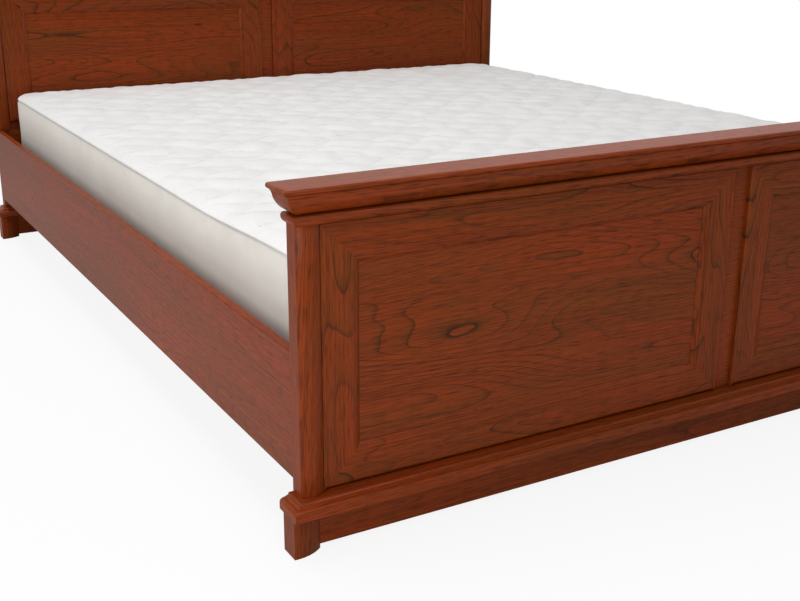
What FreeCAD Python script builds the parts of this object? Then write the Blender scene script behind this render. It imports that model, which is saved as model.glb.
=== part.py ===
"""A panel bed for one mattress, 1600 by 2000, drawn in millimetres.

Frame of the drawing: X runs across the bed, Y runs from the foot end (-Y) to the
head end (+Y), Z runs up, and the origin is on the floor under the middle of the bed.
Both end boards are built alike and face the foot end. Each is a pair of bowed posts
with two mitred, panelled leaves between them, on a backing board. It stands on a
moulded base and two feet, and carries a bullnose board, a cornice and a top board.
"""

import FreeCAD
import Part
import math
import os

# Mattress and the room round it
mattress_width = 1600.0
mattress_length = 2000.0
mattress_height = 196.0
mattress_side_gap = 37.4
mattress_end_gap = 11.4
mattress_corner_radius = 55.0
mattress_crown = 8.0
mattress_edge_round = 12.0
mattress_corner_tuck = 10.0
mattress_waist = 3.0
# Share of the crown's rise that is reached at each distance in from the side
crown_steps = ((0.45, 90.0), (0.8, 220.0), (1.0, 420.0))
soft_clearance = 0.3

# Boards
board_thickness = 16.0
backing_thickness = 10.0
rail_height = 202.0
rail_bottom = 118.0
rail_edge_radius = 1.5

# Posts
post_width = 37.3
post_bow = 7.0
leaf_setback = 2.0

# Feet, plinth and base moulding
base_bottom = 72.5
base_height = 23.5
base_projection = 23.0
base_face_height = 10.9
base_bead_width = 8.0
base_bead_chamfer = 0.6
base_cove_width = 1.8
base_cove_bulge = 0.5
base_slope_high = 3.7
base_slope_low = 6.0
base_round_width = 8.0
base_round_bulge = 2.2
foot_width = 49.3
foot_side_step = 17.0
foot_front_step = 3.0
foot_front_radius = 66.0
foot_apex_inset = 7.0
foot_lift = 1.0
plinth_setback = 16.0
plinth_lift = 7.5
plinth_dowel_inset = 60.0
plinth_dowel_count = 6

# Heights of the two ends, measured at the top of the posts
foot_post_top = 513.5
head_post_top = 719.5
head_leaf_height = 374.0

# Bullnose board, cornice and top board
bullnose_thickness = 16.2
bullnose_projection = 8.8
bullnose_round = 5.2
bullnose_bulge = 2.0
bullnose_foot_projection = 0.2
cornice_height = 35.3
cornice_rebate_height = 2.0
cornice_rebate_depth = 6.0
cornice_foot_projection = 1.8
cornice_belly_projection = 21.0
cornice_belly_height = 25.8
cornice_belly_bulge = 3.5
cornice_hollow_projection = 25.0
cornice_hollow_bulge = 0.5
quirk_height = 1.2
quirk_depth = 2.5
top_board_thickness = 8.0
top_board_projection = 29.8
nose_underside_inset = 2.6
nose_top_inset = 3.3
nose_front_height = 4.4

# Leaves
leaf_gap = 2.0
leaf_top_gap = 3.0
leaf_edge_radius = 1.6
leaf_foot_radius = 9.0
leaf_bottom_gap = 1.5
leaf_spacing = 39.2
strip_setback = 8.0
strip_play = 0.5
foot_frame_flat = 52.0
head_frame_flat = 43.0
head_frame_slope = 17.0
head_frame_drop = 2.5
bead_width = 12.0
bead_quirk = 1.2
panel_recess = 7.5
panel_lip = 0.8
bead_bulge = 1.6
panel_thickness = 4.0
panel_tongue = 8.0
panel_play = 0.5

# Slatted base
slat_count = 14
slat_width = 70.0
slat_thickness = 18.0
slat_top = 225.0
slat_end_gap = 4.0
slat_middle_gap = 6.0
slat_row_margin = 20.0
tape_width = 25.0
tape_thickness = 1.2
tape_inset = 140.0
tape_end_inset = 5.0
cleat_width = 28.0
cleat_height = 40.0
cleat_end_gap = 60.0
cleat_screw_end = 60.0
beam_width = 60.0
beam_height = 60.0
beam_end_gap = 3.0
leg_size = 45.0
leg_count = 3

# Steel fittings
angle_thickness = 3.0
angle_height = 120.0
angle_long_leg = 50.0
angle_short_leg = 20.0
angle_bolt_inset = 11.0
angle_bolt_end = 25.0
angle_screw_end = 12.0
angle_screw_reach = 35.0
angle_above_rail_bottom = 18.0
hanger_thickness = 2.5
hanger_flange = 22.0
hanger_depth = 40.0
hanger_play = 0.4
hanger_height = 48.0
hanger_screw_low = 12.0
hanger_screw_high = 36.0
hanger_screw_cover = 3.0

# Fasteners and glides
screw_radius = 2.0
screw_head_radius = 4.0
screw_head_height = 2.4
screw_cover = 4.0
bolt_radius = 3.0
bolt_head_radius = 6.0
bolt_head_height = 3.5
bolt_depth = 12.0
leg_bolt_radius = 4.0
leg_bolt_in_leg = 40.0
leg_bolt_in_beam = 35.0
hole_clearance = 0.1
hole_depth_play = 1.0
hole_mouth = 0.5
dowel_radius = 4.0
dowel_play = 1.0
dowel_in_board = 10.0
dowel_in_post = 22.0
dowel_in_foot = 16.0
dowel_back_inset = 8.0
dowel_front_inset = 23.0
dowel_past_mitre = 8.35
dowel_before_mitre = 6.65
foot_dowel_back_inset = 10.0
foot_dowel_front_inset = 20.0
foot_dowel_past_post = 4.0
foot_dowel_before_mitre = 7.0
cornice_dowel_inset = 170.68
cornice_dowel_count = 5
bar_screw_count = 4
strip_screw_count = 3
strip_screw_cover = 2.0
cleat_screw_count = 7
glide_shift = 2.0
glide_radius = 12.0
glide_pocket = 3.0
leg_glide_radius = 16.0
leg_glide_height = 5.0

# How far a cutting shape runs past the piece that it cuts
overrun = 1.0

# Places that follow from the sizes above
inner_width = mattress_width + 2 * mattress_side_gap
inner_length = mattress_length + 2 * mattress_end_gap
posts_width = inner_width + 2 * board_thickness
half_posts = posts_width / 2
end_thickness = board_thickness + backing_thickness
post_depth = leaf_setback + end_thickness
apex_depth = post_depth + post_bow
overall_length = inner_length + end_thickness + apex_depth + top_board_projection
foot_back = apex_depth + top_board_projection - overall_length / 2
head_back = overall_length / 2
head_face = head_back - end_thickness
deck = base_bottom + base_height
slat_bottom = slat_top - slat_thickness
rail_inner = inner_width / 2
rail_top = rail_bottom + rail_height
beam_bottom = slat_bottom - beam_height

os.makedirs("parts", exist_ok=True)


def point(x, y, z):
    return FreeCAD.Vector(x, y, z)


def save(name, *solids):
    """Write one node, made of one solid or of a group of separate solids."""
    shape = solids[0] if len(solids) == 1 else Part.makeCompound(list(solids))
    shape.exportStep(os.path.join("parts", name + ".step"))
    count = len(shape.Solids)
    print(f"{name:32s} {count:3d} solid(s) {shape.Volume / 1000:11.1f} cm3  valid {shape.isValid()}")


def box(x0, x1, y0, y1, z0, z1):
    return Part.makeBox(x1 - x0, y1 - y0, z1 - z0, point(x0, y0, z0))


def rod(radius, start, end):
    axis = end - start
    return Part.makeCylinder(radius, axis.Length, start, axis)


def mirrored(shape):
    """The same piece on the other side of the bed's middle."""
    return shape.mirror(point(0, 0, 0), point(1, 0, 0))


def both_sides(shape):
    return [shape, mirrored(shape)]


def outline(steps, place):
    """A closed face from a list of (end,) lines and (middle, end) arcs.

    place turns a flat pair of numbers into a point in space.
    """
    edges = []
    start = steps[0][0]
    here = start
    for step in steps[1:] + [(start,)]:
        end = step[-1]
        if len(step) == 2:
            edges.append(Part.Arc(place(*here), place(*step[0]), place(*end)).toShape())
        elif math.dist(here, end) > 1e-6:
            edges.append(Part.LineSegment(place(*here), place(*end)).toShape())
        here = end
    return Part.Face(Part.Wire(edges))


def arc_middle(start, end, bulge):
    """The middle of an arc that stands bulge to the left of the line start-end."""
    run = (end[0] - start[0], end[1] - start[1])
    length = math.hypot(*run)
    middle = ((start[0] + end[0]) / 2, (start[1] + end[1]) / 2)
    return (middle[0] - run[1] / length * bulge, middle[1] + run[0] / length * bulge)


def minus(shape, cutters):
    return shape.cut(Part.makeCompound(cutters)) if cutters else shape


def base_steps():
    """Moulded edge of the base: pairs of projection past the posts and height."""
    face_top = (base_projection, base_face_height)
    slope_low = (base_projection - base_round_width, base_height - base_slope_low)
    slope_high = (base_bead_width + base_cove_width, base_height - base_slope_high)
    bead = (base_bead_width, base_height - base_bead_chamfer)
    return [
        ((base_projection, 0.0),),
        (face_top,),
        (arc_middle(face_top, slope_low, -base_round_bulge), slope_low),
        (slope_high,),
        (arc_middle(slope_high, bead, base_cove_bulge), bead),
        ((base_bead_width - base_bead_chamfer, base_height),),
    ]


def bullnose_steps():
    """Edge of the board on the posts: it swells out from them and turns over."""
    foot = (bullnose_foot_projection, 0.0)
    shoulder = (bullnose_projection, bullnose_thickness - bullnose_round)
    top = (bullnose_projection - bullnose_round, bullnose_thickness)
    quarter_bulge = bullnose_round * (1 - math.sqrt(0.5))
    return [
        (foot,),
        (arc_middle(foot, shoulder, -bullnose_bulge), shoulder),
        (arc_middle(shoulder, top, -quarter_bulge), top),
    ]


def cornice_steps():
    """Cornice edge: a rebate, a full belly, a small hollow and a quirk on top."""
    rebate = cornice_foot_projection - cornice_rebate_depth
    foot = (cornice_foot_projection, cornice_rebate_height)
    belly = (cornice_belly_projection, cornice_rebate_height + cornice_belly_height)
    hollow = (cornice_hollow_projection, cornice_height - quirk_height)
    return [
        ((rebate, 0.0),),
        ((rebate, cornice_rebate_height),),
        (foot,),
        (arc_middle(foot, belly, -cornice_belly_bulge), belly),
        (arc_middle(belly, hollow, cornice_hollow_bulge), hollow),
        ((cornice_hollow_projection - quirk_depth, cornice_height - quirk_height),),
        ((cornice_hollow_projection - quirk_depth, cornice_height),),
    ]


def top_board_steps():
    """Rounded nose of the thin board on the cornice."""
    nose = (top_board_projection, nose_front_height)
    return [
        ((top_board_projection - nose_underside_inset, 0.0),),
        (nose, (top_board_projection - nose_top_inset, top_board_thickness)),
    ]


def edged_board(steps, back, bottom):
    """A board with the same moulding on its front edge and on both ends.

    Projections count from the posts' outer sides and from the crown of their fronts.
    """
    front = back - apex_depth
    top = steps[-1][-1]
    lowest = steps[0][0]
    reach = half_posts + 2 * top_board_projection
    inner = front - back

    section = steps + [((inner, top[1]),), ((inner, lowest[1]),)]
    face = outline(section, lambda p, h: point(-reach, front - p, bottom + h))
    long_body = face.extrude(point(2 * reach, 0, 0))

    right = [tuple((half_posts + p, h) for p, h in step) for step in steps]
    left = [tuple((-half_posts - p, h) for p, h in step) for step in steps]
    back_up = [(left[-1][-1],)]
    for number in range(len(left) - 1, 0, -1):
        back_up.append(left[number][:-1] + (left[number - 1][-1],))
    face = outline(right + back_up, lambda x, h: point(x, front - reach, bottom + h))
    across = face.extrude(point(0, 2 * reach, 0))
    return long_body.common(across)


def mitred(board, back):
    """Cut an edged board at 45 degrees into its front length and its two returns."""
    corner_front = back - apex_depth
    reach = 2 * top_board_projection
    front = corner_front - reach
    wide = half_posts + reach
    narrow = half_posts - apex_depth - reach
    plan = [
        ((-wide, front),),
        ((wide, front),),
        ((narrow, back + reach),),
        ((-narrow, back + reach),),
    ]
    span = board.BoundBox
    prism = outline(plan, lambda x, y: point(x, y, span.ZMin - overrun))
    prism = prism.extrude(point(0, 0, span.ZLength + 2 * overrun))
    return board.common(prism), Part.makeCompound(board.cut(prism).Solids)


def post(back, top, landing):
    """Left post: flat sides, a bowed front, and a flat landing where a rail meets it."""
    outer = -half_posts
    arris = back - post_depth
    steps = [
        ((outer, back),),
        ((outer, arris),),
        ((outer + post_width / 2, back - apex_depth), (outer + post_width, arris)),
        ((outer + post_width, back),),
    ]
    shape = outline(steps, lambda x, y: point(x, y, deck)).extrude(point(0, 0, top - deck))
    if landing:
        face = back - end_thickness
        notch = box(
            outer - overrun,
            outer + post_width + overrun,
            face - 2 * post_bow,
            face,
            rail_bottom - hole_clearance,
            rail_bottom + rail_height + hole_clearance,
        )
        shape = shape.cut(notch)
    return shape


def foot_block(back):
    """Left foot: square outside, with a front that curves away towards the middle."""
    outer = -half_posts - foot_side_step
    front = back - apex_depth - foot_front_step

    def fall(x):
        return foot_front_radius - math.sqrt(foot_front_radius**2 - (x - foot_apex_inset) ** 2)

    start = (outer, front + fall(0.0))
    middle = (outer + foot_width / 2, front + fall(foot_width / 2))
    end = (outer + foot_width, front + fall(foot_width))
    steps = [((outer, back),), (start,), (middle, end), ((outer + foot_width, back),)]
    height = base_bottom - foot_lift
    return outline(steps, lambda x, y: point(x, y, foot_lift)).extrude(point(0, 0, height))


def frame_section(flat, slope, drop, edge_radius):
    """Section of a leaf's frame: distance in from its edge, and depth behind its face."""
    width = flat + slope + bead_width
    edge_start = (0.0, edge_radius)
    edge_end = (edge_radius, 0.0)
    quarter_bulge = edge_radius * (1 - math.sqrt(0.5))
    bead_start = (flat + slope, drop + bead_quirk)
    bead_end = (width, panel_recess - panel_lip)
    groove = width - panel_tongue
    return [
        (edge_start,),
        (arc_middle(edge_start, edge_end, -quarter_bulge), edge_end),
        ((flat, 0.0),),
        ((flat + slope, drop),),
        (bead_start,),
        (arc_middle(bead_start, bead_end, -bead_bulge), bead_end),
        ((width, panel_recess),),
        ((groove, panel_recess),),
        ((groove, panel_recess + panel_thickness),),
        ((width, panel_recess + panel_thickness),),
        ((width, board_thickness),),
        ((0.0, board_thickness),),
    ]


def frame_bar(section, width, length):
    """One mitred bar that stands on the origin, its outer edge on X 0, its face on Y 0."""
    body = outline(section, lambda a, b: point(a, b, 0)).extrude(point(0, 0, length))
    plan = [((0.0, 0.0),), ((width, width),), ((width, length - width),), ((0.0, length),)]
    prism = outline(plan, lambda x, z: point(x, -overrun, z))
    prism = prism.extrude(point(0, board_thickness + 2 * overrun, 0))
    return body.common(prism)


def leaf(profile, frame_width, x0, x1, z0, z1, face):
    """The four bars and the panel of one leaf that fills x0..x1 and z0..z1.

    The bottom bar is rounder on its outer edge than the other three.
    """
    width = x1 - x0
    height = z1 - z0
    section = frame_section(*profile, leaf_edge_radius)
    foot_section = frame_section(*profile, leaf_foot_radius)
    upright = frame_bar(section, frame_width, height)
    top = frame_bar(section, frame_width, width)
    top.rotate(point(0, 0, 0), point(0, 1, 0), 90)
    bottom = frame_bar(foot_section, frame_width, width)
    bottom.rotate(point(0, 0, 0), point(0, 1, 0), 90)
    bottom = bottom.mirror(point(0, 0, 0), point(0, 0, 1))
    left = upright.copy()
    right = upright.mirror(point(0, 0, 0), point(1, 0, 0))
    left.translate(point(x0, face, z0))
    right.translate(point(x1, face, z0))
    bottom.translate(point(x0, face, z0))
    top.translate(point(x0, face, z1))
    edge = frame_width - panel_tongue + panel_play
    panel = box(
        x0 + edge,
        x1 - edge,
        face + panel_recess,
        face + panel_recess + panel_thickness,
        z0 + edge,
        z1 - edge,
    )
    return {
        "stiles": Part.makeCompound([left, right]),
        "bottom_rail": bottom,
        "top_rail": top,
        "panel": panel,
    }


def wood_screw(tip, head):
    """A screw whose head lies flush with the surface at head and whose tip is at tip."""
    run = head - tip
    inward = run * (-1 / run.Length)
    neck = head + inward * screw_head_height
    cone = Part.makeCone(screw_head_radius, screw_radius, screw_head_height, head, inward)
    return cone.fuse(rod(screw_radius, neck, tip))


def screw_hole(tip, head):
    run = head - tip
    inward = run * (-1 / run.Length)
    mouth = head - inward * hole_mouth
    wide = screw_head_radius + hole_mouth + hole_clearance
    slim = screw_radius + hole_clearance
    cone = Part.makeCone(wide, slim, screw_head_height + hole_mouth, mouth, inward)
    neck = head + inward * screw_head_height
    return cone.fuse(rod(slim, neck, tip + inward * hole_depth_play))


def spread(first, last, count):
    return [first + (last - first) * i / (count - 1) for i in range(count)]


# Pieces that several boards are drilled for
screws = []
dowels = []
bolts = []
drills = {}


def drill(board, cutter):
    drills.setdefault(board, []).append(cutter)


def screw_through(tip, head, *boards):
    screws.append(wood_screw(tip, head))
    for board in boards:
        drill(board, screw_hole(tip, head))


def dowel_between(low, high, *boards):
    dowels.append(rod(dowel_radius, low, high))
    play = point(0, 0, dowel_play)
    for board in boards:
        drill(board, rod(dowel_radius + hole_clearance, low - play, high + play))


# The two ends of the bed
nodes = {}
soles = []


def build_end(name, back, post_top, leaf_bottom, profile, landing):
    face = back - end_thickness
    front = back - apex_depth
    left_post = post(back, post_top, landing)
    nodes[f"{name}_post_left"] = left_post
    nodes[f"{name}_post_right"] = mirrored(left_post)

    edge = half_posts - post_width
    nodes[f"{name}_backing_board"] = box(-edge, edge, back - backing_thickness, back, deck, post_top)

    frame_width = profile[0] + profile[1] + bead_width
    outer = edge - leaf_gap
    inner = leaf_spacing / 2
    leaf_top = post_top - leaf_top_gap
    spans = {"left": (-outer, -inner), "right": (inner, outer)}
    for side, (x0, x1) in spans.items():
        bars = leaf(profile, frame_width, x0, x1, leaf_bottom, leaf_top, face)
        for bar, shape in bars.items():
            nodes[f"{name}_leaf_{side}_{bar}"] = shape

    strip_half = inner - strip_play
    nodes[f"{name}_centre_strip"] = box(
        -strip_half, strip_half, face + strip_setback, face + board_thickness, leaf_bottom, leaf_top
    )

    cornice_bottom = post_top + bullnose_thickness
    top_bottom = cornice_bottom + cornice_height
    for member, steps, bottom in (
        ("base", base_steps(), base_bottom),
        ("bullnose", bullnose_steps(), post_top),
        ("cornice", cornice_steps(), cornice_bottom),
    ):
        front_length, returns = mitred(edged_board(steps, back, bottom), back)
        nodes[f"{name}_{member}_front"] = front_length
        nodes[f"{name}_{member}_returns"] = returns
    nodes[f"{name}_top_board"] = edged_board(top_board_steps(), back, top_bottom)

    block = foot_block(back)
    nodes[f"{name}_feet"] = Part.makeCompound(both_sides(block))
    plinth_half = half_posts + foot_side_step - foot_width
    plinth_face = front - foot_front_step + plinth_setback
    plinth_back = plinth_face + board_thickness
    nodes[f"{name}_plinth_board"] = box(
        -plinth_half, plinth_half, plinth_face, plinth_back, plinth_lift, base_bottom
    )
    plinth_end = plinth_half - plinth_dowel_inset
    for x in spread(-plinth_end, plinth_end, plinth_dowel_count):
        dowel_between(
            point(x, plinth_face + board_thickness / 2, base_bottom - dowel_in_post),
            point(x, plinth_face + board_thickness / 2, base_bottom + dowel_in_board),
            f"{name}_plinth_board",
            f"{name}_base_front",
        )

    sole_x = half_posts + foot_side_step - foot_width / 2
    sole_y = back - apex_depth / 2 + glide_shift

    def mitre_x(inset):
        """Where the mitre of the mouldings lies, that far in front of the back."""
        return half_posts - apex_depth + inset

    for side in (-1, 1):
        soles.append(point(side * sole_x, sole_y, 0))
        for x, y, member in (
            (half_posts + foot_dowel_past_post, foot_dowel_back_inset, "returns"),
            (mitre_x(foot_dowel_front_inset) - foot_dowel_before_mitre, foot_dowel_front_inset, "front"),
        ):
            dowel_between(
                point(side * x, back - y, base_bottom - dowel_in_foot),
                point(side * x, back - y, base_bottom + dowel_in_board),
                f"{name}_feet",
                f"{name}_base_{member}",
            )
        for x, y, member in (
            (mitre_x(dowel_back_inset) + dowel_past_mitre, dowel_back_inset, "returns"),
            (mitre_x(dowel_front_inset) - dowel_before_mitre, dowel_front_inset, "front"),
        ):
            for low, high, board in (
                (deck - dowel_in_board, deck + dowel_in_post, "base"),
                (post_top - dowel_in_post, post_top + dowel_in_board, "bullnose"),
            ):
                dowel_between(
                    point(side * x, back - y, low),
                    point(side * x, back - y, high),
                    f"{name}_post_left",
                    f"{name}_post_right",
                    f"{name}_{board}_{member}",
                )
    cornice_end = half_posts - cornice_dowel_inset
    for x in spread(-cornice_end, cornice_end, cornice_dowel_count):
        dowel_between(
            point(x, back - apex_depth / 2, cornice_bottom - dowel_in_board),
            point(x, back - apex_depth / 2, cornice_bottom + dowel_in_post),
            f"{name}_bullnose_front",
            f"{name}_cornice_front",
        )

    bar_middle = frame_width / 2
    for x0, x1 in spans.values():
        for z in (leaf_bottom + bar_middle, leaf_top - bar_middle):
            bar = "bottom_rail" if z < (leaf_bottom + leaf_top) / 2 else "top_rail"
            side = "left" if x0 < 0 else "right"
            for x in spread(x0 + 2 * frame_width, x1 - 2 * frame_width, bar_screw_count):
                screw_through(
                    point(x, face + screw_cover, z),
                    point(x, back, z),
                    f"{name}_backing_board",
                    f"{name}_leaf_{side}_{bar}",
                )
    for z in spread(leaf_bottom + frame_width, leaf_top - frame_width, strip_screw_count):
        screw_through(
            point(0, face + strip_setback + strip_screw_cover, z),
            point(0, back, z),
            f"{name}_backing_board",
            f"{name}_centre_strip",
        )


foot_profile = (foot_frame_flat, 0.0, 0.0)
head_profile = (head_frame_flat, head_frame_slope, head_frame_drop)
foot_leaf_bottom = deck + leaf_bottom_gap
head_leaf_bottom = head_post_top - leaf_top_gap - head_leaf_height
build_end("foot", foot_back, foot_post_top, foot_leaf_bottom, foot_profile, False)
build_end("head", head_back, head_post_top, head_leaf_bottom, head_profile, True)

# Low board across the head end, at the height of the side rails
low_half = half_posts - post_width
low_back = head_face + board_thickness
nodes["head_low_board"] = box(-low_half, low_half, head_face, low_back, rail_bottom, rail_top)

# Side rails and the cleats that carry the slats
rail = box(-half_posts, -rail_inner, foot_back, head_face, rail_bottom, rail_top)
long_edges = [e for e in rail.Edges if e.Length > 2 * rail_height]
long_top_edges = [e for e in long_edges if e.CenterOfMass.z > (rail_bottom + rail_top) / 2]
rail = rail.makeFillet(rail_edge_radius, long_top_edges)
nodes["side_rail_left"] = rail
nodes["side_rail_right"] = mirrored(rail)

cleat = box(
    -rail_inner,
    -rail_inner + cleat_width,
    foot_back + cleat_end_gap,
    head_face - cleat_end_gap,
    slat_bottom - cleat_height,
    slat_bottom,
)
nodes["slat_cleats"] = Part.makeCompound(both_sides(cleat))
cleat_middle = slat_bottom - cleat_height / 2
cleat_ends = (foot_back + cleat_end_gap + cleat_screw_end, head_face - cleat_end_gap - cleat_screw_end)
for y in spread(*cleat_ends, cleat_screw_count):
    for sign, side in ((-1, "left"), (1, "right")):
        screw_through(
            point(sign * (rail_inner + board_thickness - screw_cover), y, cleat_middle),
            point(sign * (rail_inner - cleat_width), y, cleat_middle),
            "slat_cleats",
            f"side_rail_{side}",
        )

# Middle beam, its legs and its hangers
beam_half = beam_width / 2
beam_start = foot_back + hanger_thickness + beam_end_gap
beam_stop = head_face - hanger_thickness - beam_end_gap
nodes["middle_beam"] = box(-beam_half, beam_half, beam_start, beam_stop, beam_bottom, slat_bottom)

leg_half = leg_size / 2
legs = []
leg_places = spread(foot_back, head_face, leg_count + 2)[1:-1]
for y in leg_places:
    legs.append(box(-leg_half, leg_half, y - leg_half, y + leg_half, leg_glide_height, beam_bottom))
    low = point(0, y, beam_bottom - leg_bolt_in_leg)
    high = point(0, y, beam_bottom + leg_bolt_in_beam)
    play = point(0, 0, dowel_play)
    bolts.append(rod(leg_bolt_radius, low, high))
    hole = rod(leg_bolt_radius + hole_clearance, low - play, high + play)
    drill("middle_legs", hole)
    drill("middle_beam", hole)
nodes["middle_legs"] = Part.makeCompound(legs)


def hanger(wall, inward):
    """A folded steel stirrup on a wall at Y wall, open at the top, that holds the beam."""
    inside = beam_half + hanger_play
    outside = inside + hanger_thickness
    cup_floor = beam_bottom - hanger_play
    low = cup_floor - hanger_thickness
    high = beam_bottom + hanger_height
    depth = hanger_depth * inward
    y_wall = sorted((wall, wall + hanger_thickness * inward))
    y_cup = sorted((wall, wall + depth))
    plate = box(-outside - hanger_flange, outside + hanger_flange, *y_wall, low, high)
    cup = box(-outside, outside, *y_cup, low, high)
    room = box(-inside, inside, y_cup[0] - overrun, y_cup[1] + overrun, cup_floor, high + overrun)
    keep = box(-inside, inside, *y_wall, cup_floor, high)
    return cup.cut(room).fuse([plate, keep]).removeSplitter()


hangers = [hanger(foot_back, 1), hanger(head_face, -1)]
nodes["beam_hangers"] = Part.makeCompound(hangers)
flange_middle = beam_half + hanger_play + hanger_thickness + hanger_flange / 2
for x in (-flange_middle, flange_middle):
    for z in (beam_bottom + hanger_screw_low, beam_bottom + hanger_screw_high):
        screw_through(
            point(x, foot_back - backing_thickness + hanger_screw_cover, z),
            point(x, foot_back + hanger_thickness, z),
            "beam_hangers",
            "foot_backing_board",
        )
        screw_through(
            point(x, head_face + board_thickness - hanger_screw_cover, z),
            point(x, head_face - hanger_thickness, z),
            "beam_hangers",
            "head_low_board",
        )

# Corner angles that join the side rails to the two ends
angle_bottom = rail_bottom + angle_above_rail_bottom
angle_top = angle_bottom + angle_height
angles = []
for wall, inward, posts in (
    (foot_back, 1, ("foot_post_left", "foot_post_right")),
    (head_face, -1, ("head_post_left", "head_post_right")),
):
    y_plate = sorted((wall, wall + angle_thickness * inward))
    y_arm = sorted((wall, wall + angle_long_leg * inward))
    x_wall = -rail_inner
    arm = box(x_wall, x_wall + angle_thickness, *y_arm, angle_bottom, angle_top)
    plate = box(x_wall, x_wall + angle_short_leg, *y_plate, angle_bottom, angle_top)
    angles.extend(both_sides(arm.fuse(plate).removeSplitter()))
    for z in (angle_bottom + angle_bolt_end, angle_top - angle_bolt_end):
        x = rail_inner - angle_bolt_inset
        seat = wall + angle_thickness * inward
        deep = wall - bolt_depth * inward
        for sign in (-1, 1):
            shank = rod(bolt_radius, point(sign * x, seat, z), point(sign * x, deep, z))
            head_end = seat + bolt_head_height * inward
            head = rod(bolt_head_radius, point(sign * x, seat, z), point(sign * x, head_end, z))
            bolts.append(head.fuse(shank))
            clear = wall - (bolt_depth + hole_depth_play) * inward
            hole = rod(
                bolt_radius + hole_clearance,
                point(sign * x, seat + overrun * inward, z),
                point(sign * x, clear, z),
            )
            drill("rail_corner_angles", hole)
            for board in posts:
                drill(board, hole)
    for z in (angle_bottom + angle_screw_end, angle_top - angle_screw_end):
        y = wall + angle_screw_reach * inward
        for sign, side in ((-1, "left"), (1, "right")):
            screw_through(
                point(sign * (rail_inner + board_thickness - screw_cover), y, z),
                point(sign * (rail_inner - angle_thickness), y, z),
                "rail_corner_angles",
                f"side_rail_{side}",
            )
nodes["rail_corner_angles"] = Part.makeCompound(angles)

# Slats in two halves, and the tapes that space them
slat_inner = slat_middle_gap / 2
slat_outer = rail_inner - slat_end_gap
row = (
    foot_back + slat_row_margin + slat_width / 2,
    head_face - slat_row_margin - slat_width / 2,
)
slats = []
for y in spread(*row, slat_count):
    slats.append(
        box(-slat_outer, -slat_inner, y - slat_width / 2, y + slat_width / 2, slat_bottom, slat_top)
    )
nodes["slats_left"] = Part.makeCompound(slats)
nodes["slats_right"] = mirrored(nodes["slats_left"])
tapes = []
for x in (-slat_outer + tape_inset, -slat_inner - tape_inset):
    tape = box(
        x - tape_width / 2,
        x + tape_width / 2,
        row[0] - slat_width / 2 + tape_end_inset,
        row[1] + slat_width / 2 - tape_end_inset,
        slat_bottom - tape_thickness,
        slat_bottom,
    )
    tapes.extend(both_sides(tape))
nodes["slat_tapes"] = Part.makeCompound(tapes)

# Glides under the feet and under the legs of the beam
glides = []
glide_rise = point(0, 0, foot_lift + glide_pocket)
for sole in soles:
    glides.append(rod(glide_radius, sole, sole + glide_rise))
    pocket = rod(glide_radius + hole_clearance, sole, sole + glide_rise)
    for board in ("foot_feet", "head_feet"):
        drill(board, pocket)
for y in leg_places:
    glides.append(rod(leg_glide_radius, point(0, y, 0), point(0, y, leg_glide_height)))
nodes["glides"] = Part.makeCompound(glides)


# Mattress: rounded edges, sides drawn in at the middle, a crowned top
def mattress_ring(inset, height, radius):
    x = mattress_width / 2 - inset
    y = mattress_length / 2 - inset
    turn = radius * (1 - math.sqrt(0.5))
    steps = [
        ((x - radius, -y),),
        ((x - turn, -y + turn), (x, -y + radius)),
        ((x, y - radius),),
        ((x - turn, y - turn), (x - radius, y)),
        ((-x + radius, y),),
        ((-x + turn, y - turn), (-x, y - radius)),
        ((-x, -y + radius),),
        ((-x + turn, -y + turn), (-x + radius, -y)),
    ]
    middle = (foot_back + head_face) / 2
    face = outline(steps, lambda a, b: point(a, b + middle, height))
    return face.OuterWire


mattress_bottom = slat_top + soft_clearance
mattress_top = mattress_bottom + mattress_height
round_low = mattress_edge_round * (1 - math.sqrt(0.5))
face_radius = mattress_corner_radius - mattress_corner_tuck
turn_radius = mattress_corner_radius - mattress_corner_tuck / 2
side_middle = mattress_bottom + mattress_height / 2
rings = [
    mattress_ring(mattress_edge_round, mattress_bottom, face_radius),
    mattress_ring(round_low, mattress_bottom + round_low, turn_radius),
    mattress_ring(0.0, mattress_bottom + mattress_edge_round, mattress_corner_radius),
    mattress_ring(mattress_waist, side_middle, mattress_corner_radius),
    mattress_ring(0.0, mattress_top - mattress_edge_round, mattress_corner_radius),
    mattress_ring(round_low, mattress_top - round_low, turn_radius),
    mattress_ring(mattress_edge_round, mattress_top, face_radius),
]
for rise, inset in crown_steps:
    rings.append(mattress_ring(inset, mattress_top + rise * mattress_crown, face_radius))
nodes["mattress"] = Part.makeLoft(rings, True, True)

nodes["wood_screws"] = Part.makeCompound(screws)
nodes["dowels"] = Part.makeCompound(dowels)
nodes["bolts"] = Part.makeCompound(bolts)

for name, cutters in drills.items():
    shape = nodes[name]
    span = shape.BoundBox
    near = [c for c in cutters if span.intersect(c.BoundBox)]
    solids = [minus(s, [c for c in near if s.BoundBox.intersect(c.BoundBox)]) for s in shape.Solids]
    nodes[name] = solids[0] if len(solids) == 1 else Part.makeCompound(solids)

for name, shape in nodes.items():
    save(name, *shape.Solids)
whole = Part.makeCompound(list(nodes.values())).BoundBox
print(f"{len(nodes)} nodes, {whole.XLength:.1f} x {whole.YLength:.1f} x {whole.ZLength:.1f} mm")
print(f"corner {whole.XMin:.2f} {whole.YMin:.2f} {whole.ZMin:.2f}")
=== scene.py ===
# %% [markdown]
# # A panel bed in stained wood
# The bed has two end boards of the same build, two side rails, a slatted base and a loose
# mattress. Every board, moulding, slat and screw comes from the imported model, true to size
# and in place. This lesson gives them their finish, and makes the mattress as a sewn thing.
# The first step loads the imported model.

# %% Load the imported bed
import math

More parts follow.
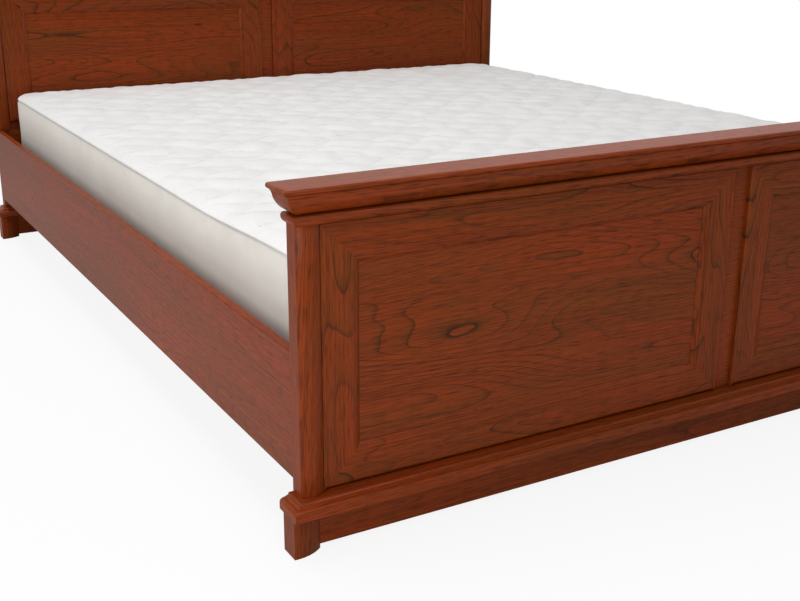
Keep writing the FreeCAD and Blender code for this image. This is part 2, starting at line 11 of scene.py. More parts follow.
import bmesh
import bpy
import numpy as np
from mathutils import Matrix, Vector, noise
from mathutils.bvhtree import BVHTree


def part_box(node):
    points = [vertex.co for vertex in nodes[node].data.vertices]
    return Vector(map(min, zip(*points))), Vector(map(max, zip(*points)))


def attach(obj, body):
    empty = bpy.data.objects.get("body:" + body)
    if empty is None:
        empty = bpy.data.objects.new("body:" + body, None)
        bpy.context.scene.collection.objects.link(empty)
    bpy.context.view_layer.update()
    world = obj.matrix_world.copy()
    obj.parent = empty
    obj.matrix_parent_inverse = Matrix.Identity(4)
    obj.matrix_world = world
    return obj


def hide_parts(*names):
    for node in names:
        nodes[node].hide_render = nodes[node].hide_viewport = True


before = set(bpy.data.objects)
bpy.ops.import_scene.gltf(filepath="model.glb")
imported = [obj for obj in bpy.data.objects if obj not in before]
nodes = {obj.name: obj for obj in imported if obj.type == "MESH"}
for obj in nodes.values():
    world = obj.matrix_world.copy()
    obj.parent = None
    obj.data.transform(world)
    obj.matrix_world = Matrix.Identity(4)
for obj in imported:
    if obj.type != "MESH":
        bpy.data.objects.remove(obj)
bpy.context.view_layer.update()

# %% [markdown]
# ## The camera
# The photograph looks along the bed from beyond its near left corner, about breast high and
# tilted down. A camera could be placed by eye, but its place and turn were solved from the
# straight edges of the foot end, the rail and the head end, so they are written here as
# numbers: a position, a turn, a tilt, a small roll, and the lens.

# %% Camera
camera_place = Vector((-1.4882, -2.4162, 0.920))
camera_turn = math.radians(29.88)
camera_tilt = math.radians(18.56)
camera_roll = math.radians(0.328)
sensor_width = 36.0
focal_pixels = 1150.43
picture_width = 800

forward = Vector((
    math.sin(camera_turn) * math.cos(camera_tilt),
    math.cos(camera_turn) * math.cos(camera_tilt),
    -math.sin(camera_tilt),
))
level_right = Vector((math.cos(camera_turn), -math.sin(camera_turn), 0.0))
level_up = level_right.cross(forward)
right = level_right * math.cos(camera_roll) + level_up * math.sin(camera_roll)
up = level_up * math.cos(camera_roll) - level_right * math.sin(camera_roll)

camera_data = bpy.data.cameras.new("camera")
camera_data.sensor_width = sensor_width
camera_data.lens = sensor_width * focal_pixels / picture_width
camera = bpy.data.objects.new("camera", camera_data)
camera.matrix_world = Matrix((
    (right.x, up.x, -forward.x, camera_place.x),
    (right.y, up.y, -forward.y, camera_place.y),
    (right.z, up.z, -forward.z, camera_place.z),
    (0.0, 0.0, 0.0, 1.0),
))
scene = bpy.context.scene
scene.collection.objects.link(camera)
scene.camera = camera
print("lens", round(camera_data.lens, 2))

# %% [markdown]
# ## Sums on sockets
# A shader is a web of nodes, and long sums are hard to read there. The class below wraps one
# socket, so that a sum written in Python adds the Math nodes for it. Everything that isn't a
# plain sum on numbers goes through its one method, `node`.

# %% One class for shader sums
class Sum:
    """A socket of a material, on which sums can be written."""

    def __init__(self, tree, socket):
        self.tree = tree
        self.socket = socket

    def node(self, kind, settings, values, out=0):
        made = self.tree.nodes.new(kind)
        for name, value in settings.items():
            if name == "stops":
                ramp = made.color_ramp
                while len(ramp.elements) < len(value):
                    ramp.elements.new(0.5)
                for element, (position, colour) in zip(ramp.elements, value):
                    element.position = position
                    element.color = colour
            else:
                setattr(made, name, value)
        for name, value in values.items():
            if isinstance(value, Sum):
                self.tree.links.new(value.socket, made.inputs[name])
            else:
                made.inputs[name].default_value = value
        return Sum(self.tree, made.outputs[out])

    def math(self, operation, *values):
        return self.node("ShaderNodeMath", {"operation": operation}, dict(enumerate(values)))

    def __add__(self, other):
        return self.math("ADD", self, other)

    def __radd__(self, other):
        return self.math("ADD", other, self)

    def __sub__(self, other):
        return self.math("SUBTRACT", self, other)

    def __rsub__(self, other):
        return self.math("SUBTRACT", other, self)

    def __mul__(self, other):
        return self.math("MULTIPLY", self, other)

    def __rmul__(self, other):
        return self.math("MULTIPLY", other, self)

    def __pow__(self, other):
        return self.math("POWER", self, other)

    def smooth(self, low, high):
        """0 below low, 1 above high, and a soft step between."""
        return self.node(
            "ShaderNodeMapRange",
            {"interpolation_type": "SMOOTHSTEP"},
            {"Value": self, "From Min": low, "From Max": high},
        )

    def clamp(self):
        return self.node("ShaderNodeClamp", {}, {"Value": self})


def vector(x, y, z):
    """A vector from three numbers or sums, of which x is a sum."""
    return x.node("ShaderNodeCombineXYZ", {}, {"X": x, "Y": y, "Z": z})


def cloud(place, scale=1.0, detail=0.0, roughness=0.5):
    """Smooth noise from 0 to 1, over a vector."""
    return place.node(
        "ShaderNodeTexNoise",
        {},
        {"Vector": place, "Scale": scale, "Detail": detail, "Roughness": roughness},
    )


def blend_colours(factor, low, high):
    """low where factor is 0, high where it is 1."""
    return factor.node(
        "ShaderNodeMix", {"data_type": "RGBA"}, {"Factor": factor, 6: low, 7: high}, 2
    )


def linear(red, green, blue):
    """A colour as it looks on a screen, 0 to 255, as the shader's own numbers."""
    tones = []
    for tone in (red, green, blue):
        share = tone / 255
        low = share / 12.92
        high = ((share + 0.055) / 1.055) ** 2.4
        tones.append(low if share <= 0.04045 else high)
    return (*tones, 1.0)


def new_finish(name):
    """An empty material: its shader node, and the place on the object as x, y and z."""
    material = bpy.data.materials.new(name)
    material.use_nodes = True
    tree = material.node_tree
    shader = tree.nodes["Principled BSDF"]
    coordinates = Sum(tree, tree.nodes.new("ShaderNodeTexCoord").outputs["Object"])
    parts = [
        coordinates.node("ShaderNodeSeparateXYZ", {}, {"Vector": coordinates}, axis)
        for axis in range(3)
    ]
    return material, shader, coordinates, parts


def connect(shader, name, value):
    """Feeds a sum into an input of the shader."""
    value.tree.links.new(value.socket, shader.inputs[name])


def bump(height, distance, strength):
    """A relief for the Normal input; distance is its depth in metres."""
    return height.node(
        "ShaderNodeBump", {}, {"Height": height, "Distance": distance, "Strength": strength}
    )


def dress(name, material):
    """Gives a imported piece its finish."""
    nodes[name].material_slots[0].material = material


print("shader sums ready")

# %% [markdown]
# ## Stained wood
# The boards are faced with a reddish-brown stained grain. On the real bed each board has its
# own figure: thin dark lines that run along the board and close into long pointed loops,
# with fine wavy lines between them, short dark pores, and patches that lean to red or to
# olive. A picture of wood could be wrapped round each board, but it would repeat and stretch.
# Here the lines are the level lines of a stretched noise, like contours on a map, which
# close into loops by themselves. Each board gets its own seed and its own grain direction.

# %% Stained wood
stain_red = linear(138, 54, 18)
stain_olive = linear(106, 58, 20)
stain_line = linear(48, 24, 9)
stain_pore = linear(76, 32, 10)
# How often each kind of mark changes in a metre, along the grain and across it
loop_scale = (1 / 0.55, 1 / 0.085)
ripple_scale = (22.0, 60.0)
strength_scale = (2.6, 8.0)
streak_scale = (2.0, 420.0)
dash_scale = (30.0, 620.0)
pore_scale = (60.0, 1500.0)
patch_scale = (1.3, 9.0)
shade_scale = (1.1, 5.0)
# Rings from the loops themselves, and rings in each metre across the board
ring_count = 20.0
ring_drift = 52.0


def stained_wood(name, grain, seed, figure):
    """A lacquered board whose grain runs along the axis grain (0, 1 or 2).

    figure is how strongly the long loops show: 1 on a wide board, little on a moulding.
    """
    material, shader, _, parts = new_finish(name)
    first, second = [parts[axis] for axis in range(3) if axis != grain]
    along = parts[grain] + seed * 3.7
    across = first + second * 0.93 + seed * 1.31
    sway = cloud(vector(along * 1.3, across * 1.6, seed)) - 0.5
    bent = across + sway * 0.045

    def stretched(scale, shift=0, detail=0.0, roughness=0.5):
        """Noise that is drawn out along the grain."""
        place = vector(along * scale[0], bent * scale[1], seed + shift)
        return cloud(place, 1.0, detail, roughness)

    field = stretched(loop_scale, 0, 0.4, 0.4)
    ripple = stretched(ripple_scale) - 0.5
    rings = field * ring_count + bent * ring_drift + ripple * 0.22
    turn = rings.math("FRACT", rings)
    ring_number = rings.math("FLOOR", rings)
    own = ring_number.node(
        "ShaderNodeTexWhiteNoise", {"noise_dimensions": "1D"}, {"W": ring_number + seed * 17.0}
    )
    strength = (stretched(strength_scale, 5) * 1.8 - 0.3).clamp()
    late = 1 - turn.smooth(0.94, 1.0)
    band = (turn ** 2.0) * late * (own * 0.6 + 0.4) * figure
    line = (turn ** 11.0) * late * (own * 0.6 + 0.4) * strength * figure

    streak = stretched(streak_scale, 0, 2.0, 0.6).smooth(0.34, 0.68)
    dash = stretched(dash_scale, 1, 0.5).smooth(0.48, 0.7)
    pores = stretched(pore_scale, 0, 0.6).smooth(0.55, 0.75)
    patch = stretched(patch_scale, 9, 1.0, 0.5).smooth(0.3, 0.75)

    colour = blend_colours((patch * 0.5 + band * 0.7).clamp(), stain_red, stain_olive)
    grain_marks = (streak * 0.44 + dash * 0.46 + pores * 0.3).clamp()
    colour = blend_colours(grain_marks, colour, stain_pore)
    colour = blend_colours((line * 2.0).clamp(), colour, stain_line)
    shade = stretched(shade_scale, 4) * 0.24 + 1.06
    toned = colour.node(
        "ShaderNodeVectorMath", {"operation": "SCALE"}, {0: colour, "Scale": shade}
    )
    connect(shader, "Base Color", toned)
    connect(shader, "Roughness", pores * 0.12 + line * 0.06 + 0.45)
    relief = 1 - (pores * 0.5 + dash * 0.3 + line * 0.4)
    connect(shader, "Normal", bump(relief, 0.00012, 0.5))
    shader.inputs["Specular IOR Level"].default_value = 0.04
    shader.inputs["Coat Weight"].default_value = 0.2
    shader.inputs["Coat Roughness"].default_value = 0.16
    shader.inputs["Coat IOR"].default_value = 1.4
    return material


print("stained grain ready")

# %% [markdown]
# ## Which board gets which grain
# A joiner cuts every board so that the grain runs along its length, and keeps the best
# figure for the wide panels. A finish could be picked by hand for each piece. Here two short
# tables do it by a part of the piece's name, and each board's number is its seed, so that no
# two boards look alike.

# %% One finish for each board
# Which way the grain runs: across the bed (0, for every other board), along it, or upright
grain_of = {
    "post": 2,
    "stiles": 2,
    "feet": 2,
    "returns": 1,
    "side_rail": 1,
}
# How strongly the long loops show
figure_of = {
    "panel": 1.0,
    "stiles": 0.9,
    "leaf": 0.9,
    "head_low_board": 0.9,
    "side_rail": 0.45,
    "plinth": 0.6,
}
plain_figure = 0.22
wood_nodes = sorted(
    name
    for name, thing in nodes.items()
    if thing.data.materials[0].name.startswith("stained_wood")
)
for number, name in enumerate(wood_nodes):
    grain = next((axis for part, axis in grain_of.items() if part in name), 0)
    figure = next((share for part, share in figure_of.items() if part in name), plain_figure)
    dress(name, stained_wood(f"stain_{name}", grain, float(number), figure))
print("stained boards", len(wood_nodes))

# %% [markdown]
# ## Bare wood
# The slats, cleats, middle beam and its legs, and the dowels are unstained softwood, pale and
# matt, with a soft straight grain. The stained finish could be reused in a paler colour, but
# this grain is plainer: nearly straight year rings, a little fibre, and a tone for each board.

# %% Bare wood
def bare_wood(name, grain, seed):
    """Planed softwood whose grain runs along the axis grain."""
    material, shader, _, parts = new_finish(name)
    first, second = [parts[axis] for axis in range(3) if axis != grain]
    along = parts[grain] + seed * 2.3
    across = first + second * 0.8 + seed
    field = cloud(vector(along * 1.6, across * 14.0, seed), 1.0, 1.0)
    rings = (field + across * 6.0) * 16.0
    turn = rings.math("FRACT", rings)
    line = (turn ** 3.0) * (1 - turn.smooth(0.9, 1.0))
    fibre = cloud(vector(along * 30.0, across * 900.0, seed), 1.0, 1.0)
    board = cloud(vector(along * 0.4, across * 7.0, seed + 3))
    colour = blend_colours(board, linear(226, 196, 152), linear(208, 172, 124))
    colour = blend_colours((line * 0.55 + fibre * 0.2).clamp(), colour, linear(176, 132, 84))
    connect(shader, "Base Color", colour)
    connect(shader, "Roughness", fibre * 0.15 + 0.58)
    connect(shader, "Normal", bump(fibre - line * 0.4, 0.0002, 0.5))
    shader.inputs["Specular IOR Level"].default_value = 0.3
    return material


bare_grain = {
    "slats_left": 0,
    "slats_right": 0,
    "slat_cleats": 1,
    "middle_beam": 1,
    "dowels": 2,
    "middle_legs": 2,
}
for number, (name, grain) in enumerate(bare_grain.items()):
    dress(name, bare_wood(f"bare_{name}", grain, float(number)))
print("bare wood", sorted(bare_grain))

# %% [markdown]
# ## Zinc plated steel
# The screws, bolts, hangers and corner angles are zinc plated, which is bright, faintly blue
# and slightly clouded, with small crystals that catch the light. They are small and mostly
# hidden, so one finish from two noises serves them all.

# %% Steel
def zinc_steel(name):
    """Bright plating with soft clouds and small crystals."""
    material, shader, place, _ = new_finish(name)
    clouds = cloud(place, 90.0, 3.0, 0.6)
    spangle = place.node("ShaderNodeTexVoronoi", {}, {"Vector": place, "Scale": 420.0})
    colour = blend_colours(clouds, linear(198, 202, 206), linear(168, 170, 168))
    connect(shader, "Base Color", colour)
    connect(shader, "Roughness", clouds * 0.22 + spangle * 0.1 + 0.24)
    connect(shader, "Normal", bump(clouds + spangle * 0.3, 0.0001, 0.4))
    shader.inputs["Metallic"].default_value = 1.0
    return material


steel = zinc_steel("zinc_steel")
for name in ("wood_screws", "bolts", "beam_hangers", "rail_corner_angles"):
    dress(name, steel)
print("steel", steel.name)

# %% [markdown]
# ## Moulded plastic
# The glides under the feet are brown moulded plastic with a fine grain and pale scuffs from
# being pushed about. The scuffs could be painted on. A second, broader noise does as well at
# this size.

# %% Plastic of the glides
def glide_plastic(name):
    """Brown plastic with scuffs."""
    material, shader, place, _ = new_finish(name)
    grainy = cloud(place, 1400.0, 2.0, 0.7)
    scuffs = cloud(place, 160.0, 3.0, 0.6).smooth(0.5, 0.8)
    connect(shader, "Base Color", blend_colours(scuffs, linear(58, 40, 30), linear(92, 72, 58)))
    connect(shader, "Roughness", scuffs * 0.2 + 0.45)
    connect(shader, "Normal", bump(grainy, 0.0001, 0.5))
    return material


dress("glides", glide_plastic("glide_plastic"))
print("glides dressed")

# %% [markdown]
# ## Webbing
# The tapes that space the slats are woven from thick thread. Real threads could be modelled,
# but they are out of sight under the mattress, so two crossed sine waves make the weave, and
# a soft noise the dirt.

# %% Webbing of the slat tapes
thread_spacing = 0.0022


def webbing(name):
    """Plain weave, slightly soiled."""
    material, shader, place, (x, y, _) = new_finish(name)
    turns = math.tau / thread_spacing
    warp = x.math("SINE", x * turns)
    weft = y.math("SINE", y * turns)
    weave = warp * weft
    dirt = cloud(place, 14.0, 3.0, 0.6)
    colour = blend_colours(dirt, linear(226, 222, 212), linear(206, 201, 190))
    colour = blend_colours((weave * 0.25 + 0.25).clamp(), colour, linear(150, 146, 138))
    connect(shader, "Base Color", colour)
    connect(shader, "Normal", bump(weave, 0.0004, 0.8))
    connect(shader, "Roughness", weave * 0.05 + 0.85)
    return material


dress("slat_tapes", webbing("slat_webbing"))
print("tapes dressed")

# %% [markdown]
# ## Softened arrises
# Lacquered edges are never knife sharp: sanding and lacquer leave a small round that catches
# the light as a thin bright line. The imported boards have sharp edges. The round could be
# faked in the shader, but a real one also shows in outline, so each visible board gets a
# Weld modifier, which joins its loose triangles, and then a narrow Bevel on its sharp edges.

# %% Round the arrises of the boards
arris_round = 0.0007
for name in wood_nodes:
    weld = nodes[name].modifiers.new("weld", "WELD")
    weld.merge_threshold = 0.00001
    bevel = nodes[name].modifiers.new("arris", "BEVEL")
    bevel.width = arris_round
    bevel.segments = 2
    bevel.limit_method = "ANGLE"
    bevel.angle_limit = math.radians(50)
    bevel.harden_normals = True
    bevel.use_clamp_overlap = True
print("arrises rounded on", len(wood_nodes))

# %% [markdown]
# ## The mattress
# The real one is a tape-edge mattress: a quilted panel on top, another below, and a plain
# border between them, sewn together in a narrow sunk seam. A soft block would look like
# foam, so each panel is made as its own closed, filled form. All of them share one outline, a
# rectangle with rounded corners. The border's rows are that outline drawn a little smaller,
# and each quilted panel is a grid whose corners are moved onto it.

# %% Outline of the mattress
mattress_low, mattress_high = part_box("mattress")
half_width = (mattress_high.x - mattress_low.x) / 2
half_length = (mattress_high.y - mattress_low.y) / 2
middle = Vector((
    (mattress_low.x + mattress_high.x) / 2,
    (mattress_low.y + mattress_high.y) / 2,
    0.0,
))
corner_radius = 0.055
seam_sink = 0.0105
crown_height = 0.008
pillow_room = 0.003
seam_top = mattress_high.z - crown_height - pillow_room
seam_bottom = mattress_low.z + 0.012
seam_dip = 0.004
seam_climb = 0.012
climb_start = -0.5
climb_length = 0.4


def seam_shift(y):
    """The upper seam climbs at the foot end, where the mattress is pressed to the board."""
    share = min(max((climb_start - y) / climb_length, 0.0), 1.0)
    return share * share * (3 - 2 * share) * seam_climb - seam_dip


def rounded(x, y):
    """Moves a point of the plain rectangle into the one with rounded corners."""
    u = max(abs(x) - (half_width - corner_radius), 0.0) / corner_radius
    v = max(abs(y) - (half_length - corner_radius), 0.0) / corner_radius
    if u > 0 and v > 0:
        pull = max(u, v) / math.hypot(u, v)
        x = math.copysign(half_width - corner_radius + u * pull * corner_radius, x)
        y = math.copysign(half_length - corner_radius + v * pull * corner_radius, y)
    return x, y


def spaced_lines(half, edge_lines, pitch):
    """Distances from the middle: fine near the edge and even elsewhere."""
    inner = half - edge_lines[-1]
    count = max(2, round(2 * inner / pitch))
    even = np.linspace(-inner, inner, count + 1)
    edge = half - np.array(edge_lines[:-1])
    return np.concatenate([-edge, even, edge[::-1]])


edge_lines = [0.0, 0.002, 0.005, 0.009, 0.014, 0.020, 0.027]
panel_pitch = 0.0125
lines_x = spaced_lines(half_width, edge_lines, panel_pitch)
lines_y = spaced_lines(half_length, edge_lines, panel_pitch)
print("mattress panel lines", len(lines_x), "by", len(lines_y))

# %% [markdown]
# ## Quilting
# The top is quilted in soft waves. Two neighbouring waves lean towards each other and apart
# again, so that they close off small pillows, no two quite alike. The stitches pull the cover
# down to the pad, and the filling swells between them. The nearest stitched line is found by a
# formula, so the depth is the same whichever mesh asks for it.

# %% Quilted waves
wave_rows = 0.060
wave_swing = 0.018
wave_length = 0.135
wave_drift = 0.008
wave_shiver = 0.004
pillow_height = 0.0034
stitch_reach = 0.012
roll_width = 0.030
crown_width = 0.42
unevenness = 0.0016


def wave(row, x):
    """Where the stitched line of that row runs, as a distance along the mattress."""
    side = 1 if row % 2 else -1
    drift = wave_drift * math.sin(x * 5.1 + row * 2.4)
    drift += wave_shiver * math.sin(x * 23.0 + row * 5.1)
    turn = math.tau * x / wave_length + 0.8 * math.sin(x * 3.1 + row * 1.7)
    return row * wave_rows + side * wave_swing * math.sin(turn) + drift


def stitch_distance(x, y):
    """How far the nearest stitched line lies."""
    row = round(y / wave_rows)
    lean = math.tau * wave_swing / wave_length * math.cos(math.tau * x / wave_length)
    nearest = min(abs(y - wave(r, x)) for r in (row - 1, row, row + 1))
    return nearest / math.sqrt(1 + lean ** 2)


def quilt(x, y, inset):
    """Height of the quilted cover over the seam, at a distance in from the edge."""
    roll = math.sqrt(1 - (1 - min(inset / roll_width, 1.0)) ** 2) * seam_sink
    crown = crown_height * (1 - (1 - min(inset / crown_width, 1.0)) ** 2) * 0.6
    pillow = pillow_height * (1 - math.exp(-stitch_distance(x, y) / stitch_reach))
    pillow *= min(inset / roll_width, 1.0)
    uneven = unevenness * noise.noise(Vector((x * 6.0, y * 6.0, 2.0)))
    return roll + crown + pillow + uneven * min(inset / 0.05, 1.0)


print("quilted rows", round(2 * half_length / wave_rows))

# %% [markdown]
# ## A quilted sheet and its closing
# Each panel is cut as a flat sheet and sewn along its edge. So a grid is lifted to the quilted
# height and then closed into a pad. It could be closed first and smoothed afterwards, but an
# earlier version that did so got stuck, most likely on the closed pad's one many-sided face.

# %% Sheet and pad
fold_in = 0.004
fold_back = 0.001


def seam_height(point, seam, direction):
    """The upper seam's height changes a little along the mattress; the lower one is level."""
    return seam + (seam_shift(point[1]) if direction > 0 else 0.0)


def quilted_sheet(name, seam, direction):
    """The open quilted sheet on the seam."""
    places = []
    for y in lines_y:
        for x in lines_x:
            inset = min(half_width - abs(x), half_length - abs(y))
            place = rounded(x, y)
            height = seam_height(place, seam, direction) + direction * quilt(*place, inset)
            places.append((place[0] + middle.x, place[1] + middle.y, height))
    wide, long = len(lines_x), len(lines_y)
    faces = []
    for row in range(long - 1):
        for column in range(wide - 1):
            corner = row * wide + column
            face = (corner, corner + 1, corner + wide + 1, corner + wide)
            faces.append(face if direction > 0 else face[::-1])
    mesh = bpy.data.meshes.new(name)
    mesh.from_pydata(places, [], faces)
    piece = bpy.data.objects.new(name, mesh)
    scene.collection.objects.link(piece)
    return piece


def close_pad(piece, direction, levels):
    """Smooths a sheet, then closes it with a flat side on the inside of the seam."""
    if levels:
        smooth = piece.modifiers.new("smooth", "SUBSURF")
        smooth.levels = levels
        evaluated = piece.evaluated_get(bpy.context.evaluated_depsgraph_get())
        finer = bpy.data.meshes.new_from_object(evaluated)
        piece.modifiers.remove(smooth)
        piece.data = finer
    shape = bmesh.new()
    shape.from_mesh(piece.data)
    border_edges = [edge for edge in shape.edges if edge.is_boundary]
    made = bmesh.ops.extrude_edge_only(shape, edges=border_edges)["geom"]
    for vert in made:
        if isinstance(vert, bmesh.types.BMVert):
            inward = (middle + Vector((0, 0, vert.co.z)) - vert.co).normalized() * fold_in
            vert.co += inward - Vector((0, 0, direction * fold_back))
    inner_edges = [
        edge for edge in made if isinstance(edge, bmesh.types.BMEdge) and edge.is_boundary
    ]
    bmesh.ops.edgeloop_fill(shape, edges=inner_edges)
    bmesh.ops.recalc_face_normals(shape, faces=shape.faces)
    for face in shape.faces:
        face.smooth = True
    shape.to_mesh(piece.data)
    shape.free()


print("sheet and pad ready, folded in by", fold_in)

# %% [markdown]
# ## Swelling as cloth
# A cover is cloth over filling: it swells between the seams and wrinkles where it is held.
# Formulas alone look machined. So the top panel and the border are let go as cloth for a few
# frames, with a little pressure behind them and a little slack in them, while their seams and
# stitches are held. No point may go further than a few millimetres, and the result is kept as
# a plain mesh. The lower panel is out of sight and keeps the formula's shape.

# %% Let a cover swell
swell_frames = 20


def swell(piece, held, pressure, slack, reach):
    """Runs the piece as cloth, held where held is 1, and keeps where its points end."""
    grip = piece.vertex_groups.new(name="held")
    for index, share in enumerate(held):
        grip.add([index], share, "REPLACE")
    before = [vert.co.copy() for vert in piece.data.vertices]
    cloth = piece.modifiers.new("cloth", "CLOTH")
    cloth.settings.vertex_group_mass = "held"
    cloth.settings.quality = 4
    cloth.settings.shrink_min = -slack
    cloth.settings.use_pressure = True
    cloth.settings.uniform_pressure_force = pressure
    cloth.settings.effector_weights.gravity = 0.0
    cloth.collision_settings.use_collision = False
    for number in range(1, swell_frames + 1):
        scene.frame_set(number)
    evaluated = piece.evaluated_get(bpy.context.evaluated_depsgraph_get())
    after = [vert.co.copy() for vert in evaluated.data.vertices]
    piece.modifiers.remove(cloth)
    piece.vertex_groups.remove(grip)
    scene.frame_set(1)
    furthest = 0.0
    for vert, old, new in zip(piece.data.vertices, before, after):
        step = new - old
        furthest = max(furthest, step.length)
        if step.length > reach:
            step *= reach / step.length
        vert.co = old + step
    print("swelled", piece.name, "furthest", round(furthest * 1000, 2), "mm")


print("swelling runs for", swell_frames, "frames")

# %% [markdown]
# ## The two quilted panels
# The upper panel is held fast along its edge and, more softly, along its stitches, so that it
# swells only between them. The grip falls off smoothly with the distance from the stitched
# line, because a hard limit would leave a step in the cover.

# %% Upper and lower panels
edge_grip = 0.015
stitch_grip = 0.004
top_panel = quilted_sheet("mattress_top_panel", seam_top, 1)
top_held = []
for vert in top_panel.data.vertices:
    x, y = vert.co.x - middle.x, vert.co.y - middle.y
    inset = min(half_width - abs(x), half_length - abs(y))
    sewn = math.exp(-(stitch_distance(x, y) / stitch_grip) ** 2)
    top_held.append(1.0 if inset < edge_grip else sewn)
swell(top_panel, top_held, pressure=4.0, slack=0.014, reach=0.006)
close_pad(top_panel, 1, levels=1)
bottom_panel = quilted_sheet("mattress_bottom_panel", seam_bottom, -1)
close_pad(bottom_panel, -1, levels=0)
print("top panel", len(top_panel.data.polygons), "faces")

# %% [markdown]
# ## The border
# The border is the plain side of the mattress. It swells just below the upper seam and just
# above the lower one, and pulls in a little between them, because the springs behind it are
# held at the top and bottom. It could be one plain wall with a modifier. Rows with their own
# inset give the tuck under each seam exactly.

# %% Rows and outline of the border
border_profile = [
    (0.014, 0.0000),
    (0.006, -0.0005),
    (0.0035, -0.0025),
    (0.0012, -0.0060),
    (0.0002, -0.0105),
    (0.0000, -0.0160),
]
side_rows = 13
waist = 0.003


def border_rows():
    """Insets and heights of the border's rows, from the upper seam down."""
    upper = [(inset, seam_top + drop) for inset, drop in border_profile]
    lower = [(inset, seam_bottom - drop) for inset, drop in border_profile[::-1]]
    top, bottom = upper[-1][1], lower[0][1]
    between = []
    for step in range(1, side_rows):
        share = step / side_rows
        between.append((waist * math.sin(math.pi * share), top + (bottom - top) * share))
    return upper + between + lower


def perimeter(pitch):
    """Points round the outline at full size, each with its outward direction."""
    straight_x, straight_y = half_width - corner_radius, half_length - corner_radius
    centres = (
        (straight_x, straight_y),
        (-straight_x, straight_y),
        (-straight_x, -straight_y),
        (straight_x, -straight_y),
    )
    turns = max(4, round(corner_radius * math.pi / 2 / pitch))
    points = []
    for quarter, (cx, cy) in enumerate(centres):
        for step in range(turns + 1):
            angle = (quarter + step / turns) * math.pi / 2
            out = Vector((math.cos(angle), math.sin(angle), 0.0))
            points.append((Vector((cx, cy, 0.0)) + out * corner_radius, out))
        start, out = points[-1]
        run = Vector((-out.y, out.x, 0.0))
        side = 2 * (straight_x if quarter % 2 == 0 else straight_y)
        count = round(side / pitch)
        for step in range(1, count):
            points.append((start + run * side * step / count, out))
    return [(point + middle, out) for point, out in points]


border_pitch = 0.012
rim = perimeter(border_pitch)
profile = border_rows()
print("border rows", len(profile), "points in each", len(rim))

# %% [markdown]
# ## The border as a sheet
# The rows are joined into one strip round the mattress. It swells as cloth while it is still
# an open strip, held along both seams, and is closed with a flat lid at the top and the
# bottom only afterwards, so that the lids aren't drawn into the swelling.

# %% Border sheet, swollen and closed
places = []
for inset, height in profile:
    lift = (height - seam_bottom) / (seam_top - seam_bottom)
    for point, out in rim:
        place = point - out * inset
        places.append((place.x, place.y, height + seam_shift(place.y - middle.y) * lift))
count = len(rim)
faces = []
for row in range(len(profile) - 1):
    upper, lower = row * count, (row + 1) * count
    for index in range(count):
        after = (index + 1) % count
        faces.append((upper + index, lower + index, lower + after, upper + after))
border_mesh = bpy.data.meshes.new("mattress_border")
border_mesh.from_pydata(places, [], faces)
border = bpy.data.objects.new("mattress_border", border_mesh)
scene.collection.objects.link(border)
held_rows = len(border_profile) - 2
border_held = []
for row in range(len(profile)):
    sewn = row < held_rows or row >= len(profile) - held_rows
    border_held += [1.0 if sewn else 0.0] * count
swell(border, border_held, pressure=0.5, slack=0.004, reach=0.004)

shape = bmesh.new()
shape.from_mesh(border_mesh)
shape.verts.ensure_lookup_table()
shape.faces.new(shape.verts[:count])
shape.faces.new(shape.verts[-count:])
bmesh.ops.recalc_face_normals(shape, faces=shape.faces)
for face in shape.faces:
    face.smooth = len(face.verts) == 4
shape.to_mesh(border_mesh)
shape.free()
print("border", len(border_mesh.polygons), "faces")

# %% [markdown]
# ## Seam cords
# A thin cord lies in each sunk seam and covers the cut edges of the panels. It follows a
# path, which is what Geometry Nodes are for: one tree sweeps a small circle along the
# outline, and a second lays short stitches along the quilted waves. The thicknesses are
# inputs of the trees. Both trees start and end alike, so two helpers do that.

# %% Start and end of a tree
def started_tree(name, numbers):
    """A tree with its inputs (a path, some numbers, a material) and the path as a curve."""
    tree = bpy.data.node_groups.new(name, "GeometryNodeTree")
    inputs = ["Geometry", *numbers, "Material"]
    for label in inputs:
        kind = label if label in ("Geometry", "Material") else "Float"
        tree.interface.new_socket(label, in_out="INPUT", socket_type="NodeSocket" + kind)
    tree.interface.new_socket("Geometry", in_out="OUTPUT", socket_type="NodeSocketGeometry")
    inlet = tree.nodes.new("NodeGroupInput")
    curve = tree.nodes.new("GeometryNodeMeshToCurve")
    tree.links.new(inlet.outputs["Geometry"], curve.inputs["Mesh"])
    return tree, inlet, curve.outputs["Curve"]


def end_tree(tree, inlet, grown_mesh):
    """Makes what has grown a real mesh, gives it the material and sends it out."""
    realize = tree.nodes.new("GeometryNodeRealizeInstances")
    cover = tree.nodes.new("GeometryNodeSetMaterial")
    outlet = tree.nodes.new("NodeGroupOutput")
    join = tree.links.new
    join(grown_mesh, realize.inputs["Geometry"])
    join(realize.outputs["Geometry"], cover.inputs["Geometry"])
    join(inlet.outputs["Material"], cover.inputs["Material"])
    join(cover.outputs["Geometry"], outlet.inputs["Geometry"])


print("tree helpers ready")

# %% [markdown]
# ## The two trees
# The cord is an eight-sided sweep, round enough for something three millimetres thick. Each
# stitch is a small ball that is stretched along its path. A stitch could be a swept piece of
# thread, but at half a millimetre a ball looks the same and has far fewer faces.

# %% Cord tree, stitch tree, and how they are run
cord_sides = 8
ball_segments = 5
ball_rings = 3


def cord_tree():
    """Sweeps a small circle along a path."""
    tree, inlet, curve = started_tree("seam_cord", ["Cord Radius"])
    circle = tree.nodes.new("GeometryNodeCurvePrimitiveCircle")
    circle.inputs["Resolution"].default_value = cord_sides
    sweep = tree.nodes.new("GeometryNodeCurveToMesh")
    join = tree.links.new
    join(inlet.outputs["Cord Radius"], circle.inputs["Radius"])
    join(curve, sweep.inputs["Curve"])
    join(circle.outputs["Curve"], sweep.inputs["Profile Curve"])
    end_tree(tree, inlet, sweep.outputs["Mesh"])
    return tree


